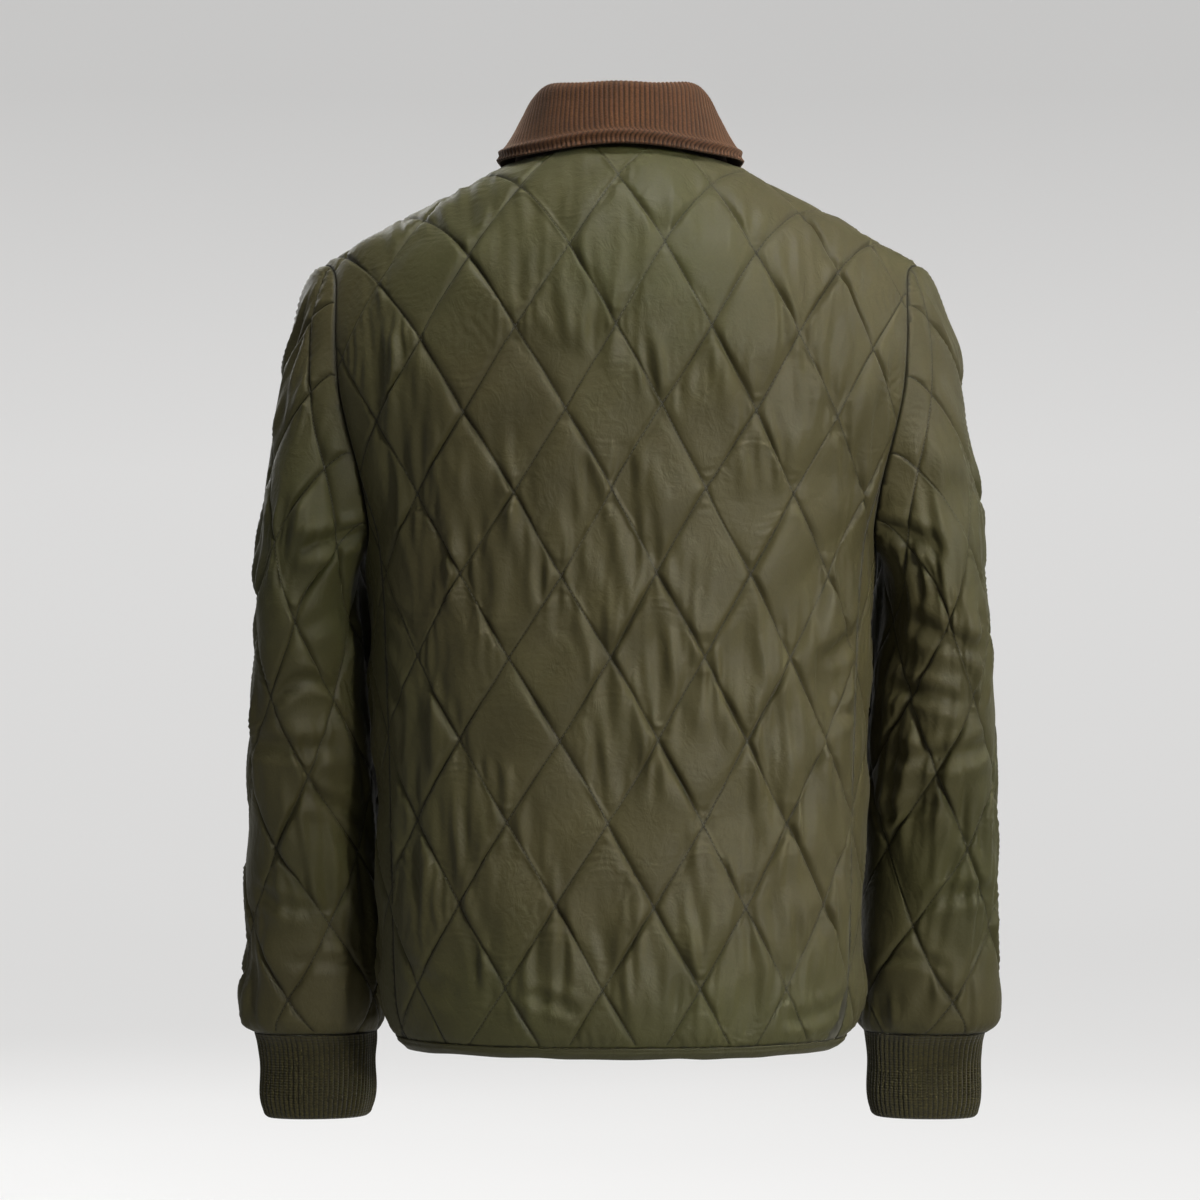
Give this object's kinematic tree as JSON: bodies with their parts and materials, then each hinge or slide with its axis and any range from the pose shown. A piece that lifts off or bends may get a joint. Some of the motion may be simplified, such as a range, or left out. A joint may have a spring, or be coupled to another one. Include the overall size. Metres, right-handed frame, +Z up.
{
  "type": "quilted jacket",
  "caption": "Hip-length diamond-quilted jacket, filled out and hollow, with a turned-down corduroy collar, rib-knit cuffs, a bound hem and a snap-fastened front.",
  "frame": {"origin": "between the shoulders, at the height where the neck meets them, on the vertical plane of the shoulder seams", "axes": "+Z up along the garment's length, +X to the wearer's left, +Y out of the back; the front faces -Y"},
  "size_m": [0.597, 0.2741, 0.8037],
  "materials": {
    "nylon": "olive green nylon with a soft shine, diamond quilted over wadding",
    "rib_knit": "dark olive rib knit, matt",
    "corduroy": "brown corduroy with fine upright wales",
    "snap_metal": "dark aged brass"
  },
  "bodies": {
    "root": {"back": "nylon", "front_left": "nylon", "front_right": "nylon", "sleeve_left": "nylon", "sleeve_right": "nylon", "hem_binding": "nylon", "placket": "nylon", "cuff_left": "rib_knit", "cuff_right": "rib_knit", "collar": "corduroy", "snap_1": "snap_metal", "snap_2": "snap_metal", "snap_3": "snap_metal", "snap_4": "snap_metal", "snap_5": "snap_metal"}
  },
  "joints": []
}
